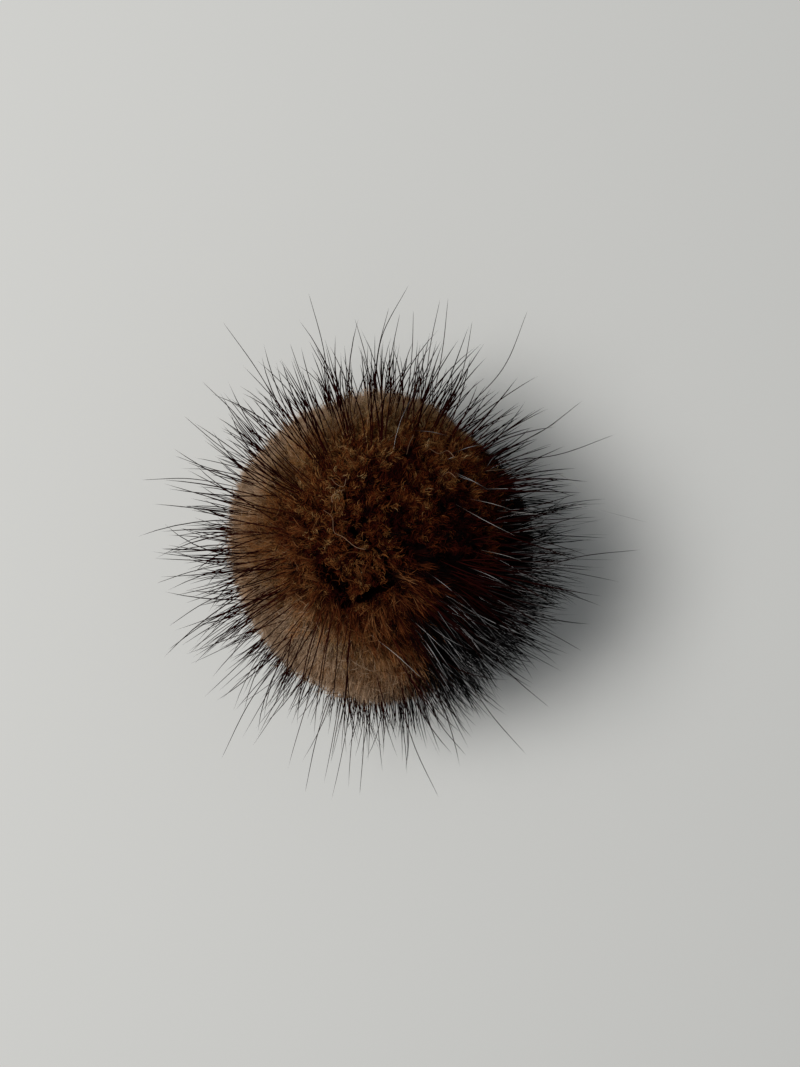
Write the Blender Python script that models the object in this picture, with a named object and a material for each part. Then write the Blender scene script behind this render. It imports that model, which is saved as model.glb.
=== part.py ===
"""Fur pom pom: one closed solid of the ball of fur, with its guard hairs drawn into tufts.

Metres, +Z up. The origin is the centre of the small flat spot that the ball rests on.
The pelt is gathered on top, a little towards -Y, where its edges meet in a short parting.
The crown carries only short locks of wool; guard hairs stand out all round it.
"""

from math import acos, cos, degrees, exp, pi, radians, sin, sqrt
from random import Random

import bmesh
import bpy
from mathutils import Vector, kdtree, noise

# Driving dimensions, in metres.
UNDERFUR_RADIUS = 0.0200  # the dense wool, without its guard hairs
REST_RADIUS = 0.0085  # the flat spot underneath
FLOOR_GAP = 0.0005  # lowest that a tuft's tip comes to the surface below

# The tufts of guard hairs, in metres past the wool.
TUFT_MEAN = 0.0066
TUFT_SPREAD = 0.0018  # either side of the mean
STRAY_SHARE = 0.10  # share of the tufts that stand out from the rest
STRAY_EXTRA = 0.0034
TUFT_HOLLOW = 0.0005  # how far the wool sinks between two tufts
LEAN_JITTER = 0.16  # sideways part of a tuft's direction, at most
CROWN_EDGE = 10  # angle from the top, in degrees, that guard hairs start beyond
FULL_EDGE = 60  # and beyond which they have their full length
LOCK_LENGTH = 0.0028  # the locks of wool on the crown
FLOOR_LIFT = 0.2  # a tuft that would reach the floor is lifted by up to this share of its root's height

# The parting where the pelt is drawn together.
PARTING_DEPTH = 0.0016
PARTING_WIDTH = 0.0016
PARTING_BARE = 0.0045  # tufts start at this distance from it
PARTING = (  # points along it, seen from above, in metres
    {"x": -0.0066, "y": -0.0036},
    {"x": -0.0042, "y": -0.0070},
    {"x": -0.0029, "y": -0.0066},
    {"x": 0.0020, "y": -0.0045},
)

# Where the wool is fuller or flatter than a ball: angles in degrees, height in metres.
SWELLS = (
    {"azimuth": 224, "elevation": 0, "width": 24, "height": -0.0005},
    {"azimuth": 268, "elevation": 8, "width": 20, "height": 0.0008},
    {"azimuth": 350, "elevation": 10, "width": 34, "height": 0.0005},
    {"azimuth": 96, "elevation": 20, "width": 30, "height": -0.0003},
    {"azimuth": 44, "elevation": 2, "width": 20, "height": -0.0013},
)
LUMP_HEIGHT = 0.0005
LUMPS_PER_METRE = 160

# Where the guard hairs are longer: angles in degrees, extra length in metres.
LONG_FUR = (
    {"azimuth": 88, "elevation": 5, "width": 26, "extra": 0.0022},
    {"azimuth": 0, "elevation": 10, "width": 30, "extra": 0.0022},
    {"azimuth": 320, "elevation": 15, "width": 26, "extra": 0.0010},
    {"azimuth": 255, "elevation": 0, "width": 24, "extra": 0.0012},
)

BALL_LEVELS = 5  # icosphere: 2562 vertices, and a tuft on each vertex of the level below
SEED = 41
FUR_COLOUR = (0.085, 0.048, 0.027, 1.0)

CENTRE = Vector((0.0, 0.0, sqrt(UNDERFUR_RADIUS ** 2 - REST_RADIUS ** 2)))
REST_ANGLE = acos(CENTRE.z / UNDERFUR_RADIUS)  # half-angle of the flat spot, from -Z


def direction(azimuth, elevation):
    """Unit vector at two angles in degrees; azimuth 0 is +X and 90 is +Y."""
    a, e = radians(azimuth), radians(elevation)
    return Vector((cos(a) * cos(e), sin(a) * cos(e), sin(e)))


def nearness(unit, row):
    """1 at the middle of a table row's zone, falling smoothly to 0 around it."""
    middle = direction(row["azimuth"], row["elevation"])
    return exp(-0.5 * (unit.angle(middle) / radians(row["width"])) ** 2)


def parting_distance(unit):
    """Distance over the ball, about, from a direction to the parting on top."""
    if unit.z < 0:
        return UNDERFUR_RADIUS
    here = Vector((unit.x, unit.y)) * UNDERFUR_RADIUS
    nearest = UNDERFUR_RADIUS
    for first, last in zip(PARTING, PARTING[1:]):
        a = Vector((first["x"], first["y"]))
        run = Vector((last["x"], last["y"])) - a
        along = max(0.0, min(1.0, (here - a).dot(run) / run.length_squared))
        nearest = min(nearest, (here - a - run * along).length)
    return nearest


def wool_point(unit):
    """The wool's surface in one direction from the ball's centre."""
    radius = UNDERFUR_RADIUS
    radius += sum(row["height"] * nearness(unit, row) for row in SWELLS)
    radius += LUMP_HEIGHT * noise.noise(unit * UNDERFUR_RADIUS * LUMPS_PER_METRE)
    radius -= PARTING_DEPTH * exp(-((parting_distance(unit) / PARTING_WIDTH) ** 2))
    return CENTRE + unit * radius


def rest_point(unit, below):
    """A point of the flat spot: its distance from the middle follows the angle from -Z."""
    outward = Vector((unit.x, unit.y, 0.0))
    if outward.length < 1e-6:
        return Vector((0.0, 0.0, 0.0))
    return outward.normalized() * REST_RADIUS * below / REST_ANGLE


def tuft_length(unit, random):
    """How far a tuft stands past the wool: long guard hairs, or short locks on the crown."""
    length = TUFT_MEAN + TUFT_SPREAD * random.uniform(-1.0, 1.0)
    length += sum(row["extra"] * nearness(unit, row) for row in LONG_FUR)
    if random.random() < STRAY_SHARE:
        length += STRAY_EXTRA
    from_top = degrees(acos(max(-1.0, min(1.0, unit.z))))
    grown = max(0.0, min(1.0, (from_top - CROWN_EDGE) / (FULL_EDGE - CROWN_EDGE)))
    bare = min(1.0, parting_distance(unit) / PARTING_BARE)
    return (LOCK_LENGTH + (length - LOCK_LENGTH) * grown) * bare ** 2


def tuft_tip(unit, root, random):
    """The tip of a tuft: outward, a little astray, and clear of the surface below."""
    length = tuft_length(unit, random)
    astray = Vector((random.gauss(0, 1), random.gauss(0, 1), random.gauss(0, 1)))
    astray -= unit * astray.dot(unit)
    lean = unit + astray.normalized() * LEAN_JITTER * random.random()
    tip = root + lean.normalized() * length
    if tip.z < FLOOR_GAP:
        tip.z = FLOOR_GAP + FLOOR_LIFT * root.z * random.random()
    return tip


def tuft_roots(level):
    """Finder of the vertices that carry a tuft: those of the next coarser icosphere."""
    coarse = bmesh.new()
    bmesh.ops.create_icosphere(coarse, subdivisions=level, radius=1.0)
    finder = kdtree.KDTree(len(coarse.verts))
    for index, vertex in enumerate(coarse.verts):
        finder.insert(vertex.co, index)
    finder.balance()
    coarse.free()
    return finder


def fur_mesh():
    """The ball's mesh: wool, flat spot, parting and tufts."""
    ball = bmesh.new()
    bmesh.ops.create_icosphere(ball, subdivisions=BALL_LEVELS, radius=1.0)
    finder = tuft_roots(BALL_LEVELS - 1)
    random = Random(SEED)
    for vertex in ball.verts:
        unit = vertex.co.normalized()
        below = pi - acos(max(-1.0, min(1.0, unit.z)))
        on_root = finder.find(unit)[2] < 1e-4
        if below <= REST_ANGLE:
            vertex.co = rest_point(unit, below)
        elif on_root:
            vertex.co = tuft_tip(unit, wool_point(unit), random)
        else:
            vertex.co = wool_point(unit) - unit * TUFT_HOLLOW
            vertex.co.z = max(vertex.co.z, FLOOR_GAP)
    mesh = bpy.data.meshes.new("fur_ball")
    ball.to_mesh(mesh)
    ball.free()
    return mesh


def fur_material():
    """Dark brown fur, without gloss."""
    material = bpy.data.materials.new("fur")
    material.use_nodes = True
    shader = material.node_tree.nodes["Principled BSDF"]
    shader.inputs["Base Color"].default_value = FUR_COLOUR
    shader.inputs["Roughness"].default_value = 0.85
    shader.inputs["Metallic"].default_value = 0.0
    return material


def main():
    for old in list(bpy.data.objects):
        bpy.data.objects.remove(old, do_unlink=True)
    mesh = fur_mesh()
    mesh.materials.append(fur_material())
    mesh.shade_smooth()
    fur_ball = bpy.data.objects.new("fur_ball", mesh)
    bpy.context.scene.collection.objects.link(fur_ball)


main()
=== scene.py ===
"""Looks of the fur pom pom: crimped wool and long guard hairs grown over a core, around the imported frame.

Lengths are in metres and angles in degrees, unless a comment says otherwise. +X is the right of the
camera's view, +Y its top and +Z points at the camera. Azimuth 0 is +X and 90 is +Y; elevation 90 is +Z.
"""

from itertools import product
from math import cos, pi, radians, sin, sqrt

import bpy
import numpy as np
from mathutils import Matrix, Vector, kdtree


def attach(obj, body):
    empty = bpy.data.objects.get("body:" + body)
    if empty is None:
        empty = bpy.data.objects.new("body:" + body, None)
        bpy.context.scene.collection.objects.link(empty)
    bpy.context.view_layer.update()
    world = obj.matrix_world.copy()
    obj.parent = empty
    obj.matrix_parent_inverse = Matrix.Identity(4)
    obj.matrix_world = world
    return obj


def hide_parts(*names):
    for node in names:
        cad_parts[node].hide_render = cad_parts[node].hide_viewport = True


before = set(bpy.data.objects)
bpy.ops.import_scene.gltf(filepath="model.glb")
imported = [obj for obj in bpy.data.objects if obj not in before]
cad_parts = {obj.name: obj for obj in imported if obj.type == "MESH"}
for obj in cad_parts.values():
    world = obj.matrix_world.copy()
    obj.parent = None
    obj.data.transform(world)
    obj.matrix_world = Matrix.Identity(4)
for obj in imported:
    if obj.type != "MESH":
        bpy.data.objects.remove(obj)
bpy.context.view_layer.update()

MM = 0.001
SEED = 7

# The ball, as in the part's source.
WOOL_RADIUS = 20.0 * MM
REST_RADIUS = 8.5 * MM
CENTRE = np.array([0.0, 0.0, sqrt(WOOL_RADIUS ** 2 - REST_RADIUS ** 2)])
FLOOR_CLEAR = 0.12 * MM  # lowest that a hair's middle comes

# Gaps and hollows in the wool, seen from above, in millimetres. No fibre crosses within clear of a gap's
# middle;
# hollows, where clear is 0, are only deeper, and darker with painted shade.
PARTING = {"start": (-2.5, -6.35), "end": (1.4, -4.65), "width": 0.48, "depth": 3.4, "clear": 0.25}
GAPS = (
    PARTING,
    {"start": (-2.3, -6.35), "end": (-1.0, -5.95), "width": 0.55, "depth": 3.4, "clear": 0.30},  # its mouth
    {"start": (1.1, -4.75), "end": (1.6, -4.45), "width": 0.5, "depth": 3.4, "clear": 0.30},  # its end
    {"start": (0.7, -1.5), "end": (1.4, -3.8), "width": 0.36, "depth": 2.4, "clear": 0.13},  # spur above it
    {"start": (-4.1, -7.1), "end": (-3.6, -7.0), "width": 0.55, "depth": 3.4, "clear": 0.38},  # pit beside it
    {"start": (-6.4, -3.0), "end": (-3.9, -6.2), "width": 0.95, "depth": 2.3, "clear": 0},  # left valley
    {"start": (-6.2, -3.4), "end": (-5.9, -3.8), "width": 0.6, "depth": 2.4, "clear": 0.10},  # its top
    {"start": (-4.7, -5.1), "end": (-4.2, -5.8), "width": 0.6, "depth": 2.6, "clear": 0.10},  # its foot
    {"start": (3.5, -7.6), "end": (4.6, -9.4), "width": 0.50, "depth": 1.2, "clear": 0},  # lower hollow
    {"start": (3.3, 0.3), "end": (9.0, -3.6), "width": 1.10, "depth": 1.8, "clear": 0},  # right valley
    {"start": (1.1, 5.9), "end": (1.3, 5.7), "width": 0.55, "depth": 1.6, "clear": 0.2},  # upper hollow
    {"start": (-1.2, 7.9), "end": (-0.2, 7.3), "width": 0.60, "depth": 0.3, "clear": 0},  # crown hollow
    {"start": (3.0, 11.8), "end": (3.8, 11.5), "width": 0.50, "depth": 0.8, "clear": 0},  # far hollow
    {"start": (-3.2, 1.9), "end": (-2.7, 1.5), "width": 0.55, "depth": 1.5, "clear": 0.15},  # middle hollow
    {"start": (3.8, 3.4), "end": (5.0, 2.4), "width": 0.50, "depth": 0.7, "clear": 0},  # right hollow
)
FOLD_START = (-6.5, -5.0)  # the fur near the parting is combed away from the line between here and its end
CROWN = (-1.0, 0.5)  # where the fur parts all round, in millimetres
NAP_AZIMUTH = -22  # the way that the fur on the +X side is combed
# Where the dark side, of black fur and painted shade, begins: angle from the top by azimuth.
DARK_EDGE = {0: 48, 15: 50, 30: 60, 45: 74, 60: 96, 80: 130, 268: 130, 280: 96, 287: 68, 291: 52, 295: 37,
             300: 31, 310: 29, 322: 31, 332: 36, 345: 43, 360: 48}

# Where the wool is fuller or flatter than a ball; height in millimetres.
SWELLS = (
    {"azimuth": 224, "elevation": 0, "width": 24, "height": -0.5},
    {"azimuth": 268, "elevation": 8, "width": 20, "height": 0.8},
    {"azimuth": 350, "elevation": 10, "width": 34, "height": 0.5},
    {"azimuth": 96, "elevation": 20, "width": 30, "height": 0.1},
    {"azimuth": 44, "elevation": 2, "width": 20, "height": -1.3},
)
# Where the wool is paler, or darker where the change is negative: azimuth, elevation, width and
# change of tone. The darker spots at azimuth 236 and 240, beside the pit, are painted shade of the pit and
# its hairs.
PATCHES = (
    (237, 38, 32, 0.26), (110, 30, 34, 0.10), (226, 46, 15, 0.15), (126, 38, 22, 0.10), (90, 38, 12, 0.08),
    (80, 82, 7, -0.14), (310, 82, 6, 0.07), (90, 60, 7, 0.04), (90, 60, 12, 0.02), (90, 88, 9, -0.05),
    (90, 72, 6, -0.07), (0, 84, 6, -0.05), (122, 62, 6, -0.06), (210, 52, 7, -0.04), (150, 26, 13, 0.07),
    (213, 36, 11, 0.05), (158, 58, 9, -0.04), (255, 33, 10, -0.04), (135, 72, 9, 0.19), (64, 26, 8, 0.05),
    (134, 57, 9, -0.09), (240, 61, 7, -0.12), (100, 52, 11, -0.06), (60, 60, 10, -0.03), (60, 43, 7, -0.06),
    (140, 34, 14, 0.08), (90, 30, 13, 0.10), (180, 72, 8, -0.14), (238, 43, 9, 0.15), (325, 73, 9, 0.05),
    (40, 60, 20, 0.03), (299, 64, 10, -0.14), (272, 40, 14, -0.03), (272, 56, 9, -0.06), (236, 65, 7, -0.15),
    (158, 38, 10, 0.05), (205, 40, 8, 0.05), (30, 20, 26, -0.10), (358, 61, 9, -0.38), (180, 50, 11, -0.06),
    (249, 77, 3.7, 0.01), (292.5, 71.7, 3.7, 0.01),
)

# How many fibres or locks are tried over the whole ball, before some are left out.
UNDERFUR_FIBRES = 105_000
COMBED_FIBRES = 150_000
CURLS = 28_000
CURL_FIBRES = 7  # in each curl
WISPS = 5200
STREAKS = 9000
STREAK_FIBRES = 11  # in each streak
GUARD_HAIRS = 10_600
BUNCHES = 560  # of guard hairs

MOST_TRIANGLES = 190_000  # in one piece

# Light and camera.
FLOOR_SIZE = 3.0
FLOOR_COLOUR = (0.765, 0.765, 0.745, 1)
FILL_COLOUR = (0.93, 0.97, 1.0, 1)
FILL_STRENGTH = 0.18
WINDOW = {"azimuth": 172, "elevation": 60, "distance": 0.75, "width": 0.38, "height": 0.31, "watts": 4.2}
WINDOW_COLOUR = (1.0, 0.99, 0.97)
CAMERA_PLACE = (2.6 * MM, 1.5 * MM, 195 * MM)  # from the ball's centre


# ---------------------------------------------------------------- vectors and noise

def unit(vectors):
    """Vectors of length 1 along the last axis."""
    return vectors / np.maximum(np.linalg.norm(vectors, axis=-1, keepdims=True), 1e-12)


def direction(azimuth, elevation):
    """Unit vector at two angles."""
    a, e = radians(azimuth), radians(elevation)
    return np.array([cos(a) * cos(e), sin(a) * cos(e), sin(e)])


def across(vectors, normals):
    """The part of each vector that is square to its normal."""
    return vectors - normals * (vectors * normals).sum(-1, keepdims=True)


def smooth(low, high, value):
    """0 below low, 1 above high, and smooth between."""
    t = np.clip((value - low) / (high - low), 0, 1)
    return t * t * (3 - 2 * t)


def nearness(units, azimuth, elevation, width):
    """1 in one direction, falling smoothly to 0 around it."""
    angle = np.arccos(np.clip(units @ direction(azimuth, elevation), -1, 1))
    return np.exp(-0.5 * (angle / radians(width)) ** 2)


class Noise:
    """Smooth noise in space, about -1 to 1, with several channels."""

    SIDE = 48

    def __init__(self, seed, channels=1):
        random = np.random.default_rng(seed)
        self.table = random.uniform(-1, 1, (self.SIDE, self.SIDE, self.SIDE, channels))

    def __call__(self, points, cell):
        at = points / cell
        low = np.floor(at).astype(int)
        part = at - low
        part = part * part * (3 - 2 * part)
        total = np.zeros((len(points), self.table.shape[-1]))
        for corner in product((0, 1), repeat=3):
            weight = np.where(np.array(corner), part, 1 - part).prod(-1)
            i, j, k = ((low + corner) % self.SIDE).T
            total += weight[:, None] * self.table[i, j, k]
        return total * 1.6


# For the swells of the wool, the way that fibres lean, their tone, and the locks that they stand in.
LUMPS = Noise(11)
LEAN_COARSE = Noise(12, 3)
LEAN_FINE = Noise(13, 3)
TONE_COARSE = Noise(14)
LOCKS = Noise(15, 2)


# ---------------------------------------------------------------- the ball's form

def seen_from_above(places):
    """Directions from the centre to places on the top of the ball, given in millimetres."""
    flat = np.array(places) * MM / WOOL_RADIUS
    return np.column_stack([flat, np.sqrt(1 - (flat ** 2).sum(1))])


def segment_gap(units, start, end):
    """Distance to a short line on top of the ball, and the direction over the surface away from it."""
    a, b = seen_from_above([start, end])
    run = b - a
    along = np.clip(((units - a) @ run) / (run @ run), 0, 1)
    off = units - (a + along[:, None] * run)
    return np.linalg.norm(off, axis=1) * WOOL_RADIUS, unit(across(off, units))


def gap_share(units, reach=1.0):
    """Depth of the gaps in the wool, and how fully a place lies in one, from 0 to 1."""
    depth, share = np.zeros(len(units)), np.zeros(len(units))
    for row in GAPS:
        distance = segment_gap(units, row["start"], row["end"])[0]
        fall = np.exp(-((distance / (row["width"] * MM * reach)) ** 4))
        depth = np.maximum(depth, row["depth"] * MM * fall)
        share = np.maximum(share, fall)
    return depth, share


def clear_of_gaps(lines):
    """Which fibres cross none of the open gaps, which go straight down into the ball."""
    clear = np.ones(len(lines), bool)
    for row in GAPS:
        if not row["clear"]:
            continue
        start = np.array(row["start"]) * MM
        run = np.array(row["end"]) * MM - start
        for level in range(lines.shape[1]):
            here = lines[:, level, :2] - start
            along = np.clip(here @ run / (run @ run), 0, 1)
            aside = np.linalg.norm(here - along[:, None] * run, axis=1)
            clear &= (aside > row["clear"] * MM) | (lines[:, level, 2] < CENTRE[2])
    return clear


def locks(units):
    """1 in the middle of a lock of wool and 0 in the gap beside it."""
    fine = LOCKS(units * WOOL_RADIUS, 0.42 * MM)
    broad = LOCKS(units * WOOL_RADIUS, 1.0 * MM)
    return smooth(-0.5, 0.4, 0.7 * fine[:, 0] + 0.5 * broad[:, 1])


def wildness(units):
    """1 where the wool is curly, on top and towards +X +Y, falling to 0 where it is combed."""
    wild = nearness(units, 60, 76, 36) + 0.6 * nearness(units, 20, 30, 30)
    return np.clip(wild - 0.55 * nearness(units, 312, 60, 13), 0, 1)


def by_azimuth(table, units):
    """Values from a table by azimuth."""
    azimuth = np.degrees(np.arctan2(units[:, 1], units[:, 0])) % 360
    return np.interp(azimuth, list(table), list(table.values()))


def dark_fur_and_painted_shade(units):
    """1 on the dark side of black fur and painted shade, towards +X and -Y, and 0 on the pale side; it fades
    out low on the ball.
    """
    plain = np.degrees(np.arccos(units[:, 2]))
    polar = plain + 7 * LUMPS(units * WOOL_RADIUS, 3.5 * MM)[:, 0]
    drift = 0.10 + 0.15 * smooth(65, 95, plain)
    shifted = unit(units + drift[:, None] * LEAN_COARSE(units * WOOL_RADIUS, 2.6 * MM))
    edge = by_azimuth(DARK_EDGE, shifted)
    blur = 10.5 + 0.9 * np.clip(plain - 58, 0, 44)
    return smooth(edge - blur, edge + blur, polar) * (1 - 0.3 * smooth(80, 125, plain))


def wool_radius(units):
    """Distance from the ball's centre to the wool's surface."""
    radius = np.full(len(units), WOOL_RADIUS)
    for row in SWELLS:
        near = nearness(units, row["azimuth"], row["elevation"], row["width"])
        radius += row["height"] * MM * near
    radius += 0.35 * MM * LUMPS(units * WOOL_RADIUS, 6 * MM)[:, 0]
    radius += 0.16 * MM * LEAN_COARSE(units * WOOL_RADIUS, 2.2 * MM)[:, 0]
    return radius - gap_share(units)[0]


def rooted(units, depth):
    """Places that lie under the wool's surface by a depth."""
    return CENTRE + units * (wool_radius(units) - depth)[:, None]


def spread_directions(count, random, jitter=0.7):
    """Directions spread evenly over the ball, each a little out of place."""
    index = np.arange(count) + 0.5
    z = 1 - 2 * index / count
    turn = pi * (1 + sqrt(5)) * index
    flat = np.sqrt(1 - z * z)
    units = np.stack([np.cos(turn) * flat, np.sin(turn) * flat, z], 1)
    spacing = sqrt(4 * pi / count)
    return unit(units + random.normal(0, jitter * spacing, units.shape))


def keep(units, density, random):
    """Which directions stay, so that their number follows a density from 0 to 1."""
    return random.random(len(units)) < density


# ---------------------------------------------------------------- hairs

MAP_EDGE = 0.01  # free edge of the map
MAP_STRIP = 0.004  # width of a hair's strip on the map


def grow(roots, ways, lengths, steps, bends):
    """Middle lines of hairs, as hair, level and place. They lie along the floor where they meet it."""
    line = [roots]
    way = unit(ways)
    for step in range(steps):
        way = unit(way + bends[step])
        there = line[-1] + way * (lengths / steps)[:, None]
        low = there[:, 2] < FLOOR_CLEAR
        if low.any():
            flat = way.copy()
            flat[:, 2] = 0
            flat = unit(flat)
            flat[:, 2] = (FLOOR_CLEAR - line[-1][:, 2]) / (lengths / steps)
            flat[:, 2] = np.clip(flat[:, 2], -1, 1)
            way = np.where(low[:, None], unit(flat), way)
            there = line[-1] + way * (lengths / steps)[:, None]
            there[:, 2] = np.maximum(there[:, 2], FLOOR_CLEAR)
        line.append(there)
    return np.stack(line, 1)


def hair_mesh(name, lines, widths, tones, facing=None):
    """One mesh of tapered hairs. Its map holds each hair's tone along U and root to tip along V.

    A hair is a thin tube of three sides, or a blade whose flat side looks along facing.
    """
    count, levels = lines.shape[:2]
    rings = levels - 1
    sides, spans = (3, 3) if facing is None else (2, 1)
    along = np.gradient(lines, axis=1)
    along = unit(along[:, :rings])
    if facing is None:
        helper = np.where(np.abs(along[..., 2:3]) < 0.8, [0.0, 0.0, 1.0], [1.0, 0.0, 0.0])
        first = unit(np.cross(along, helper))
    else:
        first = unit(np.cross(along, facing[:, None, :]))
    second = np.cross(along, first)
    angles = np.arange(sides) * 2 * pi / sides
    ring = (np.cos(angles)[:, None] * first[:, :, None, :]
            + np.sin(angles)[:, None] * second[:, :, None, :])
    places = lines[:, :rings, None, :] + ring * (widths / 2)[:, :, None, None]
    points = np.concatenate([places.reshape(count, -1, 3), lines[:, -1:, :]], 1)
    points[..., 2] = np.maximum(points[..., 2], FLOOR_CLEAR / 3)

    per_hair = rings * sides + 1
    quads, quad_uv, tips, tip_uv = [], [], [], []
    for level in range(rings):
        for side in range(spans):
            other = (side + 1) % sides
            low = level * sides
            v0, v1 = level / rings, (level + 1) / rings
            u0, u1 = side / spans, (side + 1) / spans
            if level < rings - 1:
                high = low + sides
                quads.append([low + side, low + other, high + other, high + side])
                quad_uv.append([(u0, v0), (u1, v0), (u1, v1), (u0, v1)])
            else:
                tips.append([low + side, low + other, per_hair - 1])
                tip_uv.append([(u0, v0), (u1, v0), ((u0 + u1) / 2, 1.0)])
    first_point = (np.arange(count) * per_hair)[:, None, None]
    loops, sizes, maps = [], [], []
    start = MAP_EDGE + tones * (1 - 2 * MAP_EDGE - MAP_STRIP)
    for corners, uvs in ((quads, quad_uv), (tips, tip_uv)):
        if not corners:
            continue
        faces = np.array(corners)[None] + first_point
        uv = np.array(uvs)[None].repeat(count, 0)
        uv[..., 0] = start[:, None, None] + uv[..., 0] * MAP_STRIP
        uv[..., 1] = MAP_EDGE + (1 - 2 * MAP_EDGE) * uv[..., 1]
        loops.append(faces.reshape(-1))
        maps.append(uv.reshape(-1, 2))
        sizes.append(np.full(faces.shape[0] * faces.shape[1], faces.shape[2]))
    loops, maps, sizes = map(np.concatenate, (loops, maps, sizes))

    mesh = bpy.data.meshes.new(name)
    mesh.vertices.add(points.shape[0] * points.shape[1])
    mesh.vertices.foreach_set("co", points.reshape(-1).astype(np.float32))
    mesh.loops.add(len(loops))
    mesh.loops.foreach_set("vertex_index", loops.astype(np.int32))
    mesh.polygons.add(len(sizes))
    starts = np.concatenate([[0], np.cumsum(sizes)[:-1]])
    mesh.polygons.foreach_set("loop_start", starts.astype(np.int32))
    mesh.polygons.foreach_set("use_smooth", np.ones(len(sizes), bool))
    layer = mesh.uv_layers.new(name="OFBake")
    layer.data.foreach_set("uv", maps.reshape(-1).astype(np.float32))
    mesh.update(calc_edges=True)
    mesh.validate()
    ob = bpy.data.objects.new(name, mesh)
    bpy.context.scene.collection.objects.link(ob)
    return ob


def hair_pieces(name, lines, widths, tones, material, facing=None):
    """Hairs as several pieces, each a sector of the ball with few enough triangles."""
    turn = np.arctan2(lines[:, 0, 1], lines[:, 0, 0])
    order = np.argsort(turn)
    each = (3 if facing is None else 1) * (2 * lines.shape[1] - 3)
    parts = int(np.ceil(len(lines) * each / MOST_TRIANGLES))
    for number, chosen in enumerate(np.array_split(order, parts)):
        piece = hair_mesh(f"{name}_{number + 1}", lines[chosen], widths[chosen], tones[chosen],
                          None if facing is None else facing[chosen])
        piece.data.materials.append(material)
        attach(piece, "root")


def wool_pieces(name, lines, widths, tones, material, facing=None):
    """Pieces of wool, without the fibres that cross an open gap."""
    clear = clear_of_gaps(lines)
    facing = None if facing is None else facing[clear]
    hair_pieces(name, lines[clear], widths[clear], tones[clear], material, facing)


def tapered(thick, taper):
    """Widths along hairs, from how thick each one is and a taper from root to tip in millimetres."""
    return np.outer(thick, taper) * MM


# ---------------------------------------------------------------- materials

def new_material(name, roughness, specular):
    """A material with its Principled shader and node tree."""
    material = bpy.data.materials.new(name)
    material.use_nodes = True
    nodes = material.node_tree.nodes
    shader = nodes["Principled BSDF"]
    shader.inputs["Roughness"].default_value = roughness
    shader.inputs["Specular IOR Level"].default_value = specular
    return material, nodes, material.node_tree.links, shader


def ramp(nodes, stops):
    """A colour ramp from (place, red, green, blue) stops."""
    node = nodes.new("ShaderNodeValToRGB")
    node.color_ramp.elements.remove(node.color_ramp.elements[1])
    for index, (place, *colour) in enumerate(stops):
        element = node.color_ramp.elements[0] if index == 0 else node.color_ramp.elements.new(place)
        element.position = place
        element.color = (*colour, 1)
    return node


def hair_material(name, stages, roughness, specular):
    """Hair coloured by its tone, from one palette to the next as it runs from root to tip.

    Each stage is a palette and the share of the hair's length over which it takes over from the last.
    """
    material, nodes, links, shader = new_material(name, roughness, specular)
    places = nodes.new("ShaderNodeUVMap")
    places.uv_map = "OFBake"
    split = nodes.new("ShaderNodeSeparateXYZ")
    links.new(places.outputs["UV"], split.inputs[0])
    shade = None
    for stops, span in stages:
        palette = ramp(nodes, stops)
        links.new(split.outputs["X"], palette.inputs["Fac"])
        if shade is None:
            shade = palette.outputs["Color"]
            continue
        along = nodes.new("ShaderNodeMapRange")
        along.interpolation_type = "SMOOTHSTEP"
        along.inputs["From Min"].default_value = span[0]
        along.inputs["From Max"].default_value = span[1]
        links.new(split.outputs["Y"], along.inputs["Value"])
        mix = nodes.new("ShaderNodeMix")
        mix.data_type = "RGBA"
        links.new(along.outputs["Result"], mix.inputs["Factor"])
        links.new(shade, mix.inputs["A"])
        links.new(palette.outputs["Color"], mix.inputs["B"])
        shade = mix.outputs["Result"]
    links.new(shade, shader.inputs["Base Color"])
    return material


def wool_material(name, tips):
    """Wool: deep saturated brown at the root, painted shade of the fur's depth, and paler at the tip."""
    roots = [(0.0, 0.0015, 0.0002, 0.0003), (0.5, 0.014, 0.0022, 0.0010), (1.0, 0.11, 0.05, 0.018)]
    return hair_material(name, [(roots, None), (tips, (0.1, 0.9))], roughness=0.9, specular=0.02)


# Colours of the wool's tips by tone: brown, paler and greying at the high tones that the painted sheen gives
# the sides, and golden in the curls.
COMBED_TIPS = [(0.0, 0.0017, 0.0017, 0.0018), (0.07, 0.0040, 0.0019, 0.0019), (0.2, 0.03, 0.0050, 0.0024),
               (0.4, 0.12, 0.032, 0.0095), (0.55, 0.21, 0.077, 0.024), (0.7, 0.34, 0.158, 0.067),
               (0.85, 0.50, 0.29, 0.152), (1.0, 0.66, 0.47, 0.32)]
CURLY_TIPS = [(0.0, 0.0017, 0.0017, 0.0018), (0.07, 0.0040, 0.0019, 0.0019), (0.2, 0.022, 0.0024, 0.0022),
              (0.35, 0.058, 0.0086, 0.0038), (0.5, 0.132, 0.0305, 0.0078), (0.68, 0.24, 0.094, 0.026),
              (0.85, 0.38, 0.205, 0.076), (1.0, 0.56, 0.40, 0.21)]


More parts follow.
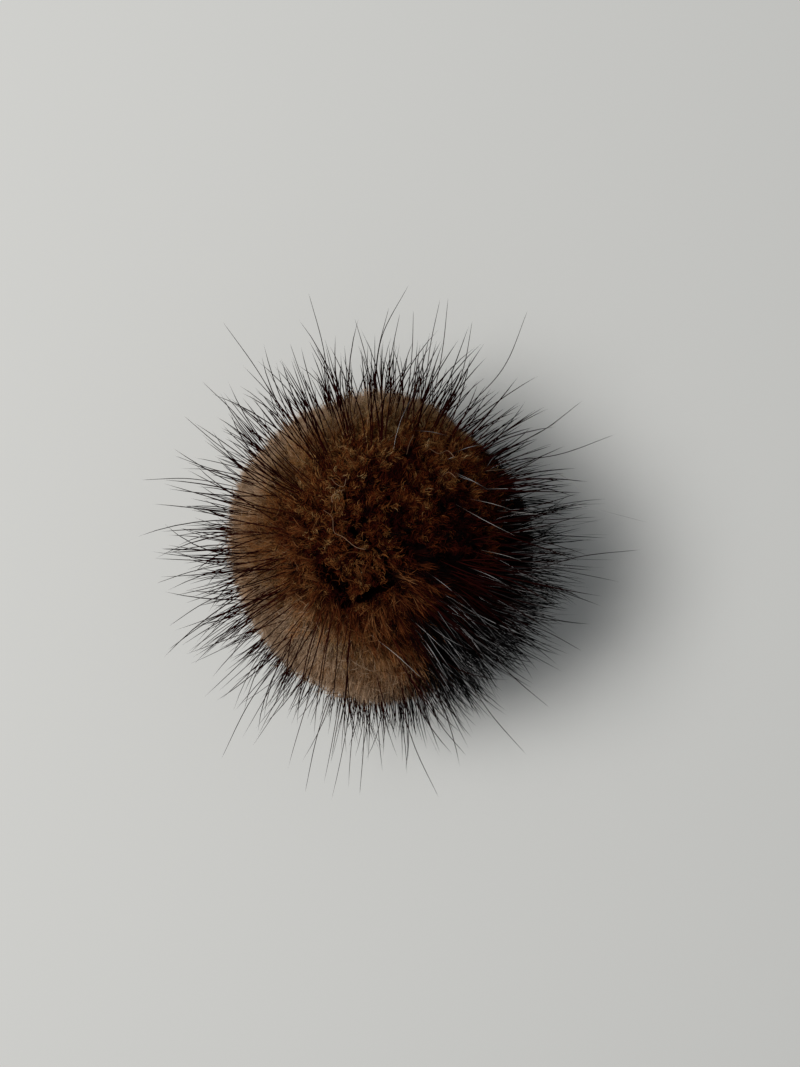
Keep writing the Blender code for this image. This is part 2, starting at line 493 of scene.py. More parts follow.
def guard_material(name, roughness, specular):
    """Guard hairs: tones up to 0.4 are maroon black, up to 0.9 black, then pale grey, which on the dark
    side's hairs is a painted glint brightest along their middle, and white from 0.97.
    """
    roots = [(0.0, 0.036, 0.0055, 0.0040), (0.4, 0.018, 0.0025, 0.0020), (0.5, 0.004, 0.0026, 0.0025),
             (0.9, 0.0045, 0.0040, 0.0041), (0.91, 0.02, 0.012, 0.010), (0.96, 0.05, 0.035, 0.032),
             (0.97, 0.20, 0.15, 0.12)]
    tips = [(0.0, 0.020, 0.0035, 0.0030), (0.4, 0.009, 0.002, 0.0018), (0.5, 0.0036, 0.0032, 0.0033),
            (0.9, 0.0042, 0.0042, 0.0044), (0.91, 0.10, 0.097, 0.10), (0.96, 0.62, 0.61, 0.61),
            (0.97, 0.56, 0.54, 0.50), (1.0, 0.80, 0.77, 0.70)]
    ends = [(0.0, 0.012, 0.003, 0.002), (0.4, 0.006, 0.002, 0.0016), (0.5, 0.003, 0.0028, 0.0029),
            (0.9, 0.0032, 0.0032, 0.0034), (0.91, 0.012, 0.011, 0.011), (0.96, 0.10, 0.097, 0.097),
            (0.97, 0.50, 0.48, 0.44), (1.0, 0.80, 0.77, 0.70)]
    stages = [(roots, None), (tips, (0.15, 0.5)), (ends, (0.55, 0.85))]
    return hair_material(name, stages, roughness, specular)


def core_material():
    """The depth of the wool, which shows only between its fibres: near black, painted shade of the deep gaps
    and the slit.
    """
    material, nodes, links, shader = new_material("wool_depth_painted_shade", roughness=1.0, specular=0.0)
    place = nodes.new("ShaderNodeTexCoord")
    noise = nodes.new("ShaderNodeTexNoise")
    noise.inputs["Scale"].default_value = 1200
    noise.inputs["Detail"].default_value = 4
    links.new(place.outputs["Object"], noise.inputs["Vector"])
    # Painted shade: near black, as the core shows only in deep gaps.
    shades = ramp(nodes, [(0.3, 0.0004, 0.0001, 0.0001), (0.7, 0.002, 0.0004, 0.0003)])
    links.new(noise.outputs["Fac"], shades.inputs["Fac"])
    links.new(shades.outputs["Color"], shader.inputs["Base Color"])
    bump = nodes.new("ShaderNodeBump")
    bump.inputs["Strength"].default_value = 0.6
    bump.inputs["Distance"].default_value = 0.3 * MM
    links.new(noise.outputs["Fac"], bump.inputs["Height"])
    links.new(bump.outputs["Normal"], shader.inputs["Normal"])
    return material


# ---------------------------------------------------------------- pieces

def make_core():
    """The closed body of the wool under its loose fibres, flat where it rests."""
    bpy.ops.mesh.primitive_ico_sphere_add(subdivisions=6, radius=1.0)
    core = bpy.context.object
    core.name = "wool_core"
    co = np.zeros(len(core.data.vertices) * 3)
    core.data.vertices.foreach_get("co", co)
    units = unit(co.reshape(-1, 3))
    radius = wool_radius(units) - 1.9 * MM
    radius += 0.25 * MM * LEAN_FINE(units * WOOL_RADIUS, 1.1 * MM)[:, 0]
    points = CENTRE + units * radius[:, None]
    points[:, 2] = np.maximum(points[:, 2], FLOOR_CLEAR)
    core.data.vertices.foreach_set("co", points.reshape(-1))
    core.data.shade_smooth()
    core.data.materials.append(core_material())
    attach(core, "root")
    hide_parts("fur_ball")


def heading(units):
    """The way that the fur is combed over the surface, and how far it leans that way."""
    crown = seen_from_above([CROWN])[0]
    polar = np.arccos(np.clip(units @ crown, -1, 1))
    way = unit(across(units - crown, units))
    distance, away = segment_gap(units, FOLD_START, PARTING["end"])
    near = 0.7 * np.exp(-((distance / (3.2 * MM)) ** 2))[:, None]
    way = way * (1 - near) + away * near
    nap = across(np.tile(direction(NAP_AZIMUTH, 0), (len(units), 1)), units)
    way = unit(way + 1.1 * nap * nearness(units, -15, 38, 34)[:, None])
    rise = radians(4) + radians(8) * dark_fur_and_painted_shade(units)
    return way, np.tan(np.clip(radians(90) - rise - polar, radians(8), radians(56)))


def wool_tone(units, lock, spread, random):
    """How pale each wool fibre is, from 0 to 1: darker between locks and in gaps, as painted shade; near
    black on the dark side, as black fur and painted shade; paler low on the sides, as painted sheen.
    """
    here = units * WOOL_RADIUS
    wild = wildness(units)
    tone = 0.43 + 0.07 * TONE_COARSE(here, 4 * MM)[:, 0] - 0.08 * wild
    # Painted shade and light: fibres between locks are darker and those in a lock's middle paler.
    tone += (0.10 + 0.23 * wild) * (lock - 0.71)
    # Painted sheen: the wool is paler towards the sides and low on the ball, where the fur is seen edge on.
    tone += 0.30 * smooth(0.92, 0.30, units[:, 2]) + 0.18 * smooth(0.6, 0.2, units[:, 2])
    for azimuth, elevation, width, change in PATCHES:
        tone += change * nearness(units, azimuth, elevation, width)
    streaks = LEAN_FINE(here * [1.0, 0.3, 0.3], 0.4 * MM)[:, 1]
    # The streaks low on the left are the wool's own tone; the darkening near the gaps is painted shade.
    tone += 0.12 * streaks * nearness(units, 272, 45, 20) - 0.16 * gap_share(units, 1.2)[1]
    # Painted shade and black fur: the wool is made near black on the dark side, which faces away from the
    # window.
    astray = 0.055 + 0.12 * smooth(0.65, 0.15, units[:, 2])
    tone *= 1 - 0.97 * dark_fur_and_painted_shade(unit(units + random.normal(0, 1, units.shape) * astray[:, None]))
    tone += random.normal(0, spread, len(units)) * (0.6 + 0.4 * wild) * np.clip(3 * tone, 0, 1)
    return np.clip(tone, 0, 1)


def wool_lean(units, comb, fine, astray, random):
    """Which way wool leans from straight out: combed like the rest of the fur, in locks, and astray."""
    way, much = heading(units)
    distance = segment_gap(units, PARTING["start"], PARTING["end"])[0]
    lean = fine * LEAN_FINE(units * WOOL_RADIUS, 0.7 * MM)
    lean += 0.2 * LEAN_COARSE(units * WOOL_RADIUS, 4 * MM)
    lean = across(lean, units) + random.normal(0, astray, units.shape)
    return lean + way * (comb * much * smooth(0.3 * MM, 3.5 * MM, distance))[:, None]


def wool_sites(count, random):
    """Where wool grows: all over the ball, and sparser underneath; fibres that cross a gap are left out when
    the pieces are made.
    """
    units = spread_directions(count, random)
    density = 1 - 0.8 * smooth(-0.55, -0.85, units[:, 2])
    return units[keep(units, density, random)]


def make_depths(wool, random):
    """Short straight fibres that fill the ball under the rest, darker than the others as painted shade of the
    fur's depth.
    """
    units = wool_sites(UNDERFUR_FIBRES, random)
    lock = locks(units)
    lean = wool_lean(units, comb=0.3, fine=0.35, astray=0.35, random=random)
    length = random.uniform(1.3, 2.2, len(units)) * MM * (0.6 + 0.4 * lock)
    lines = grow(rooted(units, 2.3 * MM), units + lean, length, 1, [0])
    widths = np.full((len(units), 1), 0.12 * MM)
    # Painted shade: the underfur is a step darker than the wool over it.
    tones = np.clip(wool_tone(units, lock, 0.08, random) - 0.2, 0, 1)
    wool_pieces("underfur", lines, widths, tones, wool, units)


def make_combed_wool(wool, random):
    """Fine fibres that lie smooth, on the sides, and the loose ends that stand out from them."""
    units = wool_sites(COMBED_FIBRES, random)
    units = units[keep(units, 1 - smooth(0.35, 0.7, wildness(units)), random)]
    loose = keep(units, 0.07 + 0.06 * smooth(0.5, 0.1, units[:, 2]), random)
    loose &= dark_fur_and_painted_shade(unit(units + 0.13 * heading(units)[0])) < 0.1
    lock = locks(units)
    lean = wool_lean(units, comb=0.35, fine=0.35, astray=0.35, random=random)
    bend = across(random.normal(0, 0.35, units.shape), units)
    length = random.uniform(1.4, 2.4, len(units)) * MM * (0.8 + 0.2 * lock)
    length += np.where(loose, random.uniform(0.3, 1.4, len(units)) * MM, 0)
    lines = grow(rooted(units, 1.7 * MM), units + lean, length, 2, [0, bend])
    widths = np.tile([0.06 * MM, 0.05 * MM], (len(units), 1))
    wool_pieces("wool_combed", lines, widths, wool_tone(units, lock, 0.13, random), wool, units)


def make_curly_wool(wool, random):
    """Locks of thicker fibres that curl together, on top."""
    middles = spread_directions(CURLS, random, 0.9)
    middles = middles[keep(middles, smooth(0.12, 0.5, wildness(middles)), random)]
    lock = locks(middles)
    loose = 0.35 + 0.65 * smooth(0.3, 0.7, wildness(middles))
    lock_lean = random.normal(0, 0.5, middles.shape) + 0.2 * LEAN_COARSE(middles * WOOL_RADIUS, 3 * MM)
    way, much = heading(middles)
    lock_lean = across(lock_lean, middles) + way * (0.35 * much)[:, None]
    lock_height = np.clip(random.normal(0, 0.13, len(middles)) + 0.25 * (lock - 0.8), -0.4, 0.14)
    lock_height = lock_height * loose * MM
    # The random part is each lock's own tone; the part from its height is painted light and shade, raised
    # locks paler and sunken ones darker.
    lock_tone = random.normal(0, 0.13, len(middles)) * loose + 0.22 * lock_height / MM
    curl = unit(across(random.normal(0, 1, middles.shape), middles))
    turn = np.cross(curl, middles) * random.choice([-1, 1], len(middles))[:, None]
    crimp = random.uniform(0.4, 1.5, len(middles))

    def each(values):
        """The values of the locks, for each of their fibres."""
        return values.repeat(CURL_FIBRES, 0)

    count = CURL_FIBRES * len(middles)
    off = across(random.normal(0, 0.24 * MM / WOOL_RADIUS, (count, 3)), each(middles))
    units = unit(each(middles) + off)
    lean = each(lock_lean) + random.normal(0, 0.16, units.shape) - 0.5 * off * WOOL_RADIUS / (1.5 * MM)
    crimp = (each(crimp) * random.uniform(0.7, 1.3, count))[:, None]
    curl = unit(each(curl) + random.normal(0, 0.25, units.shape))
    turn = unit(each(turn) + random.normal(0, 0.25, units.shape))
    bends = [0.0, crimp * curl, crimp * turn, -crimp * curl]
    height = each(lock_height) + random.normal(0, 0.15, count) * MM
    length = random.uniform(1.0, 1.8, count) * MM
    lines = grow(rooted(units, 1.4 * MM - height), units + lean, length, 4, bends)
    widths = tapered(random.uniform(0.8, 1.2, count), [0.065, 0.078, 0.07, 0.05])
    tones = wool_tone(units, each(lock), 0.075, random)
    tones = np.clip(tones + each(lock_tone) * (1 - dark_fur_and_painted_shade(units)), 0, 1)
    wool_pieces("wool_curl", lines, widths, tones, wool, units)


def make_wisps(wool, random):
    """Pale fibres that lie loose on the combed wool."""
    units = spread_directions(WISPS, random, 1.0)
    density = 0.10 + 0.6 * nearness(units, 272, 38, 20) + 0.15 * nearness(units, 215, 45, 40)
    density *= smooth(-0.1, 0.2, units[:, 2]) * (1 - dark_fur_and_painted_shade(units))
    density *= 1 - 0.7 * smooth(0.5, 0.9, wildness(units))
    units = units[keep(units, density, random)]
    units = units[dark_fur_and_painted_shade(unit(units + 0.15 * heading(units)[0])) < 0.1]
    flat = across(random.normal(0, 1, units.shape), units)
    lean = unit(flat) * random.uniform(0.8, 3.0, (len(units), 1)) + heading(units)[0] * 0.8
    curl = unit(across(random.normal(0, 1, units.shape), units))
    turn = np.cross(curl, units)
    amount = random.uniform(0.1, 0.7, (len(units), 1))
    down = -0.16 * units
    bends = [0.0, amount * curl, amount * turn + down, -amount * curl + down, amount * turn + down, down]
    length = random.uniform(1.6, 3.2, len(units)) * MM
    lines = grow(rooted(units, 0.15 * MM), units * 0.5 + lean, length, 6, bends)
    widths = tapered(random.uniform(0.8, 1.1, len(units)), [0.06, 0.08, 0.085, 0.08, 0.07, 0.05])
    tones = wool_tone(units, np.full(len(units), 0.8), 0.06, random) + 0.08
    wool_pieces("wool_wisp", lines, widths, np.clip(tones, 0, 1), wool)


def make_streaks(wool, random):
    """Flat locks of longer wool, combed away from the parting."""
    middles = spread_directions(STREAKS, random, 1.0)
    density = nearness(middles, 300, 65, 10) + 0.7 * nearness(middles, 325, 64, 9)
    density += 0.35 * nearness(middles, 222, 58, 11)
    density = 0.9 * density * (1 - 0.8 * dark_fur_and_painted_shade(middles))
    middles = middles[keep(middles, density, random)]
    way = heading(middles)[0]
    aside = np.cross(way, middles)
    turned = unit(way + aside * random.normal(0, 0.22, (len(middles), 1)))
    slope = random.uniform(1.0, 2.2, (len(middles), 1))
    lock_tone = random.normal(-0.11, 0.16, len(middles))
    lock_height = random.normal(0, 0.12, len(middles)) * MM

    def each(values):
        """The values of the locks, for each of their fibres."""
        return values.repeat(STREAK_FIBRES, 0)

    count = STREAK_FIBRES * len(middles)
    off = across(random.normal(0, 0.22 * MM / WOOL_RADIUS, (count, 3)), each(middles))
    units = unit(each(middles) + off)
    lean = each(turned * slope) + across(random.normal(0, 0.16, units.shape), units)
    bend = across(random.normal(0, 0.13, units.shape), units)
    bends = [0.0, bend - 0.08 * units, bend - 0.10 * units, -0.12 * units]
    length = random.uniform(1.9, 3.4, count) * MM
    lines = grow(rooted(units, 1.0 * MM - each(lock_height)), units + lean, length, 4, bends)
    widths = tapered(random.uniform(0.8, 1.2, count), [0.065, 0.08, 0.07, 0.05])
    tones = wool_tone(units, np.full(count, 0.7), 0.07, random)
    tones = np.clip(tones + each(lock_tone) * (1 - dark_fur_and_painted_shade(units)), 0, 0.75)
    wool_pieces("wool_streak", lines, widths, tones, wool, units)


# How thick the guard hairs stand by azimuth: round the rim, over the wool inside it, and nearer the top.
RIM_THICKNESS = {0: 0.54, 30: 0.14, 60: 0.18, 90: 0.35, 120: 0.25, 150: 0.12, 180: 0.28,
                 210: 0.50, 240: 0.72, 270: 0.80, 300: 0.82, 330: 1.02, 360: 0.54}
MIDDLE_THICKNESS = {0: 0.80, 30: 0.42, 60: 0.32, 75: 0.24, 90: 0.17, 120: 0.15, 150: 0.155, 180: 0.24,
                    210: 0.15, 240: 0.06, 260: 0.04, 280: 0.12, 292: 0.6, 300: 1.05, 330: 0.95, 360: 0.80}
TOP_THICKNESS = {0: 0.40, 30: 0.06, 60: 0.06, 90: 0.13, 120: 0.24, 150: 0.27, 180: 0.33,
                 210: 0.24, 240: 0.08, 260: 0.02, 280: 0.06, 292: 0.45, 300: 0.80, 330: 0.90, 360: 0.40}
# Angle from the top, by azimuth, that guard hairs start beyond.
BARE = {0: 28, 60: 27, 100: 25, 250: 25, 285: 20, 300: 12, 330: 13, 350: 22, 360: 28}
# How far guard hairs reach out of the wool by azimuth, in millimetres.
REACH = {0: 5.0, 30: 4.4, 60: 4.7, 90: 5.0, 120: 4.5, 150: 4.0, 180: 4.1,
         210: 4.2, 240: 4.4, 270: 4.4, 300: 4.2, 330: 3.8, 360: 5.0}
# Bunches that stand out: where they leave the ball, how many hairs, and how far they spread.
TUFTS = (
    {"azimuth": 90, "elevation": 50, "hairs": 12, "spread": 4.5},
    {"azimuth": 78, "elevation": 34, "hairs": 8, "spread": 7.0},
    {"azimuth": 107, "elevation": 44, "hairs": 9, "spread": 2.6},
    {"azimuth": 123, "elevation": 48, "hairs": 4, "spread": 3.0},
    {"azimuth": 146, "elevation": 54, "hairs": 8, "spread": 3.6},
    {"azimuth": 188, "elevation": 55, "hairs": 7, "spread": 4.5},
    {"azimuth": 205, "elevation": 52, "hairs": 8, "spread": 5.0},
    {"azimuth": 228, "elevation": 60, "hairs": 6, "spread": 5.0},
    {"azimuth": 243, "elevation": 60, "hairs": 3, "spread": 4.0},
)


def guard_density(units):
    """How thick the guard hairs stand: bare on the crown, and thickest on the dark side."""
    polar = np.degrees(np.arccos(units[:, 2]))
    inner, outer = smooth(56, 44, polar), smooth(65, 79, polar)
    density = by_azimuth(TOP_THICKNESS, units) * inner + by_azimuth(RIM_THICKNESS, units) * outer
    density += by_azimuth(MIDDLE_THICKNESS, units) * (1 - inner - outer)
    start = by_azimuth(BARE, units)
    density *= smooth(start, start + 11, polar)
    density *= 1 - 0.45 * smooth(95, 115, polar)
    return density * (1 - 0.7 * smooth(-0.75, -0.9, units[:, 2]))


def bunch(units, random):
    """The middle of each hair's bunch, the bunch's number, and how far the hair's tip is drawn in."""
    middles = spread_directions(BUNCHES, random, 1.2)
    finder = kdtree.KDTree(len(middles))
    for index, middle in enumerate(middles):
        finder.insert(middle, index)
    finder.balance()
    index = np.array([finder.find(u)[1] for u in units])
    drawn = np.where(random.random(len(units)) < 0.8, random.uniform(0.25, 0.95, len(units)), 0)
    return middles[index], index, drawn


def tuft_roots(random):
    """The bunches that stand out: directions of their hairs, and the middle of each hair's bunch."""
    hairs, middles = [], []
    for row in TUFTS:
        middle = direction(row["azimuth"], row["elevation"])
        hairs.append(unit(middle + random.normal(0, radians(row["spread"]) / 2, (row["hairs"], 3))))
        middles.append(np.tile(middle, (row["hairs"], 1)))
    return np.concatenate(hairs), np.concatenate(middles)


def make_guard_hairs():
    """The long dark hairs, whose tips draw together in bunches, denser and longer towards +X."""
    random = np.random.default_rng(SEED + 3)
    units = spread_directions(GUARD_HAIRS, random, 0.9)
    units = units[keep(units, 0.70 * guard_density(units) * (1 + 0.15 * dark_fur_and_painted_shade(units)), random)]
    middles, index, drawn = bunch(units, random)
    drawn *= 1 - 0.6 * nearness(units, 248, 0, 38)
    added, added_middles = tuft_roots(random)
    drawn = np.concatenate([drawn, np.full(len(added), 0.4)])
    shared = np.concatenate([random.normal(0, 1, (BUNCHES, 3))[index], random.normal(0, 0.7, added.shape)])
    curve = np.concatenate([random.normal(0, 0.04, (BUNCHES, 3))[index], random.normal(0, 0.03, added.shape)])
    size = np.concatenate([random.lognormal(0, 0.22, BUNCHES)[index], np.ones(len(added))])
    units, middles = np.concatenate([units, added]), np.concatenate([middles, added_middles])
    count = len(units)
    polar = np.degrees(np.arccos(units[:, 2]))
    inner = smooth(75, 45, polar)
    dark = dark_fur_and_painted_shade(units)

    size = size * random.lognormal(0, 0.35, count)
    beyond = by_azimuth(REACH, units) * size
    beyond = beyond * (1 - inner) + inner * (11 + random.normal(0, 2.2, count)) * (1 - 0.38 * dark)
    sunk = 2.4 - 1.2 * inner
    length = (sunk + np.clip(beyond, 1.5, 15)) * MM

    way, much = heading(units)
    shared = shared * (0.075 + 0.05 * inner)[:, None]
    astray = (0.037 + 0.143 * inner - 0.035 * inner * dark) * np.where(drawn > 0, 1 - 0.6 * drawn, 1.6)
    inward = (middles - units) * (WOOL_RADIUS / length + 1)[:, None]
    most = 0.21 + 0.19 * inner + 0.14 * nearness(units, 45, 5, 28) + 0.10 * nearness(units, 325, 5, 28)
    inward *= np.minimum(1, most / np.maximum(np.linalg.norm(inward, axis=1), 1e-9))[:, None]
    lean = (shared + inward) * drawn[:, None] + random.normal(0, 1, units.shape) * astray[:, None]
    lean = across(lean, units)
    lean += across(0.15 * LEAN_COARSE(units * WOOL_RADIUS, 6 * MM), units)
    lean += way * (much * (1 - 0.25 * inner))[:, None]

    own = random.normal(0, 1, units.shape) * (0.03 + 0.03 * inner - 0.02 * dark)[:, None]
    nap = direction(NAP_AZIMUTH, 0) * (0.05 * nearness(units, 25, 20, 30))[:, None]
    bend = across(own + curve * (drawn > 0)[:, None] + nap, units)
    settle = way * (0.10 * inner * much * (1 - 0.5 * dark))[:, None]
    lines = grow(rooted(units, sunk * MM), units + lean, length, 6, [0] + [bend + settle] * 3 + [bend] * 2)
    thick = 1 - 0.05 * dark + 0.16 * nearness(units, 105, 5, 45) + 0.18 * nearness(units, 45, 5, 26)
    thick += 0.17 * inner * (1 - dark) - 0.15 * nearness(units, 235, 5, 34)
    widths = tapered(random.uniform(0.75, 1.1, count) * thick, [0.10, 0.135, 0.15, 0.145, 0.13, 0.095])
    tones = random.uniform(0, 0.4, count) + 0.5 * dark
    # Painted glints: on the dark side some hairs are pale grey along their middle, where the window would
    # glint off hairs on top of the ball; the glossy hairs glint for real.
    glint_share = dark * (0.3 + 0.7 * smooth(90, 66, polar) + 0.3 * nearness(units, 0, 10, 20))
    painted_glint = keep(units, 0.34 * glint_share, random)
    tones = np.where(painted_glint, 0.916 + 0.049 * random.random(count) ** 1.5, tones)
    widths *= np.where(painted_glint, 0.43, 1.0)[:, None]
    glossy = keep(units, 0.002 + 0.28 * glint_share, random)
    hair_pieces("guard_hair", lines[~glossy], widths[~glossy], tones[~glossy],
                guard_material("guard_hair", roughness=0.5, specular=0.0))
    hair_pieces("glossy_hair", lines[glossy], 0.72 * widths[glossy], tones[glossy],
                guard_material("glossy_hair", roughness=0.25, specular=0.9))


# Single hairs that stand out, seen from above: both ends and how far the middle bows to the left of
# the way from root to tip, all in millimetres.
STRAYS = (
    {"root": (-0.7, 19.0), "tip": (3.7, 33.0), "bow": 1.3},
    {"root": (-6.2, 18.5), "tip": (-9.0, 32.0), "bow": -0.4},
    {"root": (-10.9, 13.9), "tip": (-19.5, 27.9), "bow": -0.5},
    {"root": (5.7, 18.9), "tip": (7.7, 31.3), "bow": 0.3},
    {"root": (10.2, 16.7), "tip": (18.8, 29.8), "bow": -1.4},
    {"root": (15.2, 11.9), "tip": (25.8, 18.4), "bow": -0.6},
    {"root": (14.6, 10.6), "tip": (29.5, 13.9), "bow": -0.9},
    {"root": (17.0, -4.0), "tip": (32.5, -0.5), "bow": 0.8},
    {"root": (15.5, -9.0), "tip": (25.4, -13.2), "bow": 0.5},
    {"root": (13.1, -12.5), "tip": (21.3, -20.3), "bow": -0.3},
    {"root": (-6.0, -18.0), "tip": (-9.4, -31.2), "bow": -0.3},
    {"root": (-1.9, -18.8), "tip": (-2.5, -31.6), "bow": 0.2},
    {"root": (2.4, -18.8), "tip": (7.5, -31.9), "bow": -0.5},
    {"root": (10.5, -16.0), "tip": (18.5, -26.4), "bow": -0.4},
    {"root": (-18.0, 7.4), "tip": (-30.2, 8.3), "bow": -0.6},
    {"root": (-16.5, 8.6), "tip": (-25.8, 11.3), "bow": 0.3},
    {"root": (-19.0, -0.3), "tip": (-27.7, -0.5), "bow": 0.2},
    {"root": (-19.0, -2.4), "tip": (-28.3, -4.8), "bow": -0.3},
    {"root": (-17.2, -7.4), "tip": (-26.7, -13.2), "bow": -0.4},
    {"root": (-12.6, -14.2), "tip": (-20.0, -27.0), "bow": -0.5},
    {"root": (-0.8, 18.9), "tip": (1.2, 30.2), "bow": 0.4},
    {"root": (0.8, 18.9), "tip": (2.6, 29.5), "bow": 0.2},
    {"root": (3.5, 18.7), "tip": (4.3, 29.9), "bow": -0.2},
    {"root": (-0.9, 18.5), "tip": (-3.1, 28.6), "bow": -0.3},
    {"root": (6.6, 17.8), "tip": (8.7, 31.4), "bow": -0.3},
    {"root": (8.6, 17.0), "tip": (11.8, 28.6), "bow": -0.5},
    {"root": (-8.0, 17.2), "tip": (-11.4, 25.7), "bow": 0.2},
    {"root": (-14.5, 11.8), "tip": (-22.4, 20.7), "bow": -0.4},
    {"root": (-15.8, 9.6), "tip": (-24.6, 16.3), "bow": 0.3},
    {"root": (-17.9, -5.4), "tip": (-26.6, -10.2), "bow": -0.4},
    {"root": (5.2, -18.4), "tip": (11.0, -26.7), "bow": -0.4},
)
WHITE_HAIRS = (
    {"root": (-1.1, -10.6), "tip": (5.2, -15.9), "bow": 0.2, "tone": 1.0},
    {"root": (5.7, -3.0), "tip": (9.8, -6.2), "bow": 0.1, "tone": 0.955},
    {"root": (7.3, -6.3), "tip": (10.8, -9.3), "bow": 0.1, "tone": 0.965},
    {"root": (3.2, -8.1), "tip": (8.9, -13.4), "bow": 0.1, "tone": 0.97},
    {"root": (7.4, -7.2), "tip": (14.0, -15.4), "bow": 0.4, "tone": 0.965},
    {"root": (10.4, -2.4), "tip": (16.0, -5.0), "bow": 0.2, "tone": 0.965},
    {"root": (12.5, -0.5), "tip": (17.7, -1.9), "bow": 0.1, "tone": 0.98},
    {"root": (13.0, -0.9), "tip": (18.9, -4.6), "bow": 0.3, "tone": 0.965},
    {"root": (17.5, 5.6), "tip": (33.6, 2.9), "bow": 0.6, "tone": 0.965},
    {"root": (11.5, 6.9), "tip": (20.6, 6.8), "bow": 0.1, "tone": 0.965},
    {"root": (14.6, 4.3), "tip": (20.9, 3.6), "bow": 0.1, "tone": 0.975},
    {"root": (11.2, 5.7), "tip": (16.1, 4.4), "bow": 0.1, "tone": 0.975},
    {"root": (8.6, 9.2), "tip": (13.5, 6.7), "bow": 0.1, "tone": 0.96},
    {"root": (8.9, 8.8), "tip": (12.4, 7.6), "bow": -0.1, "tone": 0.95},
    {"root": (9.4, 5.0), "tip": (16.7, 1.1), "bow": -0.1, "tone": 0.975},
    {"root": (9.1, 11.4), "tip": (13.0, 12.5), "bow": 0.1, "tone": 0.96},
    {"root": (8.3, 10.5), "tip": (9.3, 10.9), "bow": 0.0, "tone": 0.98},
    {"root": (3.9, 14.2), "tip": (9.1, 13.3), "bow": 0.2, "tone": 0.935},
    {"root": (13.1, 9.3), "tip": (14.6, 11.4), "bow": 0.1, "tone": 0.945},
    {"root": (22.6, 9.3), "tip": (26.2, 6.5), "bow": 0.2, "tone": 1.0},
)
# Pale fibres that wave over the wool, as places along them seen from above, in millimetres.
WAVY_FIBRES = (
    ((-6.5, 4.3), (-5.4, 3.4), (-5.2, 1.7), (-4.1, 1.1), (-2.6, -0.1), (-1.2, -0.4)),
    ((-5.6, 8.1), (-5.0, 7.4), (-4.1, 7.1), (-3.8, 8.1)),
    ((-4.0, 6.7), (-4.9, 6.4), (-5.5, 5.9), (-5.4, 5.1)),
    ((6.2, 11.8), (7.3, 11.2), (8.4, 11.6), (9.3, 10.7)),
    ((15.1, 11.0), (16.3, 10.4), (16.6, 9.8), (15.2, 9.5), (13.1, 9.2)),
    ((3.4, 11.0), (3.7, 12.3), (4.3, 13.6)),
    ((7.6, 8.4), (8.5, 8.9), (9.4, 8.2)),
)
FINE_LEVELS = 17  # points along a single hair


def above_wool(places, height):
    """Points over the wool, from places seen from above in millimetres; the height too."""
    places = np.array(places, float)
    reach = np.minimum(np.linalg.norm(places, axis=1), 19.0)
    inside = unit(places) * reach[:, None]
    units = seen_from_above(inside)
    points = CENTRE + units * (wool_radius(units) + height * MM)[:, None]
    points[:, :2] = places * MM
    return points


def along_curve(points, count):
    """Points spaced along a smooth curve that passes through the given ones."""
    padded = np.concatenate([2 * points[:1] - points[1:2], points, 2 * points[-1:] - points[-2:-1]])
    place = np.linspace(0, len(points) - 1, count)
    low = np.minimum(place.astype(int), len(points) - 2)
    t = (place - low)[:, None]
    p0, p1, p2, p3 = (padded[low + k] for k in range(4))
    return 0.5 * (2 * p1 + (p2 - p0) * t + (2 * p0 - 5 * p1 + 4 * p2 - p3) * t ** 2
                  + (3 * p1 - p0 - 3 * p2 + p3) * t ** 3)


def bowed(row):
    """A hair from a table row, as points along it."""
    root, tip = np.array(row["root"]), np.array(row["tip"])
    side = np.array([root[1] - tip[1], tip[0] - root[0]]) / np.linalg.norm(tip - root)
    ends = above_wool([root, (root + tip) / 2 + side * row["bow"], tip], 0)
    ends[0, 2] -= 0.8 * MM
    ends[2, 2] = ends[0, 2] + 0.12 * np.linalg.norm(tip - root) * MM
    ends[1, 2] = np.maximum(ends[1, 2], (ends[0, 2] + ends[2, 2]) / 2 + 0.4 * MM)
    return along_curve(ends, FINE_LEVELS)


def make_single_hairs():
    """The strays, the white hairs and the wavy fibres."""
    taper = np.interp(np.linspace(0, 1, FINE_LEVELS - 1), [0, 0.3, 0.7, 1], [0.10, 0.13, 0.12, 0.06])
    strays = np.stack([bowed(row) for row in STRAYS])
    hair_pieces("stray_hair", strays, tapered(np.ones(len(strays)), taper), np.full(len(strays), 0.3),
                guard_material("stray_hair", roughness=0.5, specular=0.0))
    white = np.stack([bowed(row) for row in WHITE_HAIRS])
    tones = np.array([row["tone"] for row in WHITE_HAIRS])
    hair_pieces("white_hair", white, tapered(np.full(len(white), 0.35), taper), tones,
                guard_material("white_hair", roughness=0.4, specular=0.05))
    wavy = np.stack([along_curve(above_wool(places, 0.5), FINE_LEVELS) for places in WAVY_FIBRES])
    stages = [([(0.0, 0.15, 0.08, 0.045)], None), ([(0.0, 0.28, 0.165, 0.10)], (0, 1))]
    pale = hair_material("wavy_fibre", stages, roughness=0.6, specular=0.05)
    widths = np.full((len(wavy), FINE_LEVELS - 1), 0.09 * MM)
    hair_pieces("wavy_fibre", wavy, widths, np.full(len(wavy), 0.5), pale)


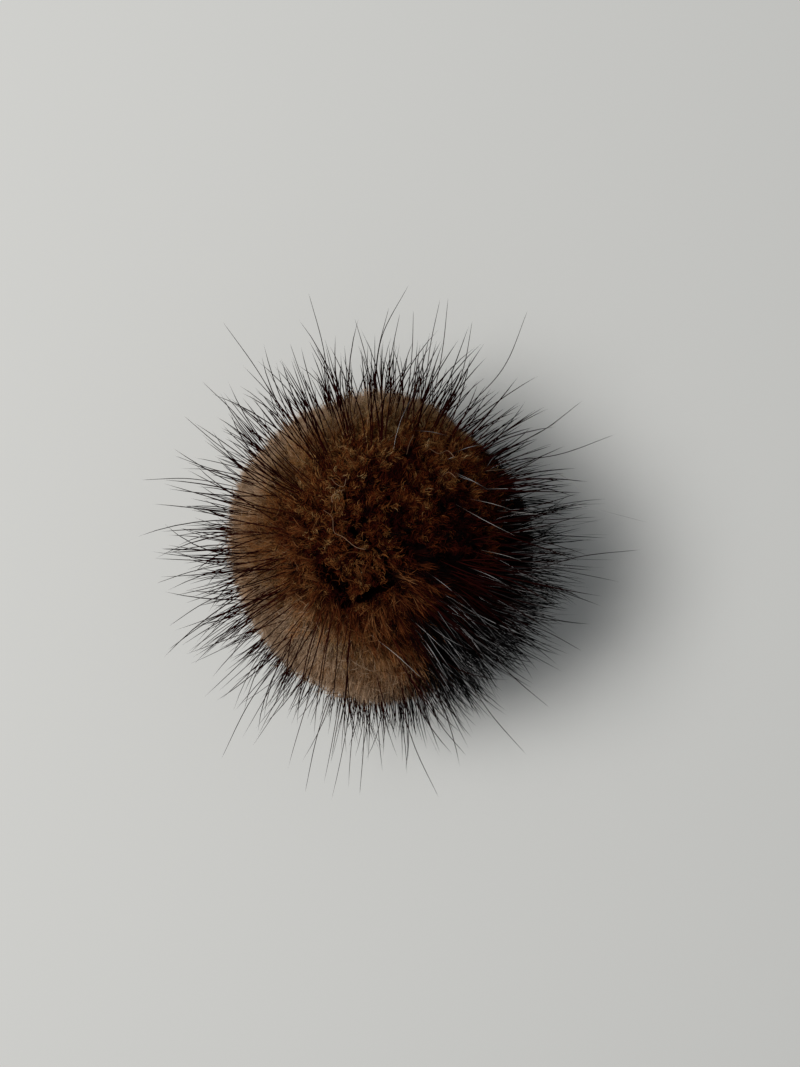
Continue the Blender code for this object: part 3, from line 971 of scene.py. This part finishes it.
# ---------------------------------------------------------------- floor, light and camera

def make_floor():
    """A plain pale floor."""
    bpy.ops.mesh.primitive_plane_add(size=FLOOR_SIZE, location=(0, 0, 0))
    floor = bpy.context.object
    floor.name = "floor"
    material, _, _, shader = new_material("pale_floor", roughness=0.8, specular=0.3)
    shader.inputs["Base Color"].default_value = FLOOR_COLOUR
    floor.data.materials.append(material)


def make_lights():
    """A large window of light, high on the left, and an even grey fill."""
    world = bpy.data.worlds.new("fill")
    bpy.context.scene.world = world
    world.use_nodes = True
    back = world.node_tree.nodes["Background"]
    back.inputs["Color"].default_value = FILL_COLOUR
    back.inputs["Strength"].default_value = FILL_STRENGTH
    data = bpy.data.lights.new("window", "AREA")
    data.shape = "RECTANGLE"
    data.size = WINDOW["width"]
    data.size_y = WINDOW["height"]
    data.energy = WINDOW["watts"]
    data.color = WINDOW_COLOUR
    lamp = bpy.data.objects.new("window", data)
    towards = Vector(direction(WINDOW["azimuth"], WINDOW["elevation"]))
    lamp.location = Vector(CENTRE) + towards * WINDOW["distance"]
    lamp.rotation_euler = towards.to_track_quat("Z", "Y").to_euler()
    bpy.context.scene.collection.objects.link(lamp)


def make_camera():
    """Straight above the ball, which sits a little left of and below the middle."""
    data = bpy.data.cameras.new("camera")
    data.lens = 50.0
    data.sensor_width = 36.0
    data.clip_start = 0.01
    camera = bpy.data.objects.new("camera", data)
    camera.location = Vector(CENTRE) + Vector(CAMERA_PLACE)
    bpy.context.scene.collection.objects.link(camera)
    bpy.context.scene.camera = camera


bpy.context.scene.view_settings.view_transform = "Standard"
make_core()
COMBED = wool_material("combed_wool", COMBED_TIPS)
make_depths(COMBED, np.random.default_rng(SEED))
make_combed_wool(COMBED, np.random.default_rng(SEED + 1))
make_curly_wool(wool_material("curly_wool", CURLY_TIPS), np.random.default_rng(SEED + 2))
make_wisps(COMBED, np.random.default_rng(SEED + 4))
make_streaks(COMBED, np.random.default_rng(SEED + 5))
make_guard_hairs()
make_single_hairs()
make_floor()
make_lights()
make_camera()
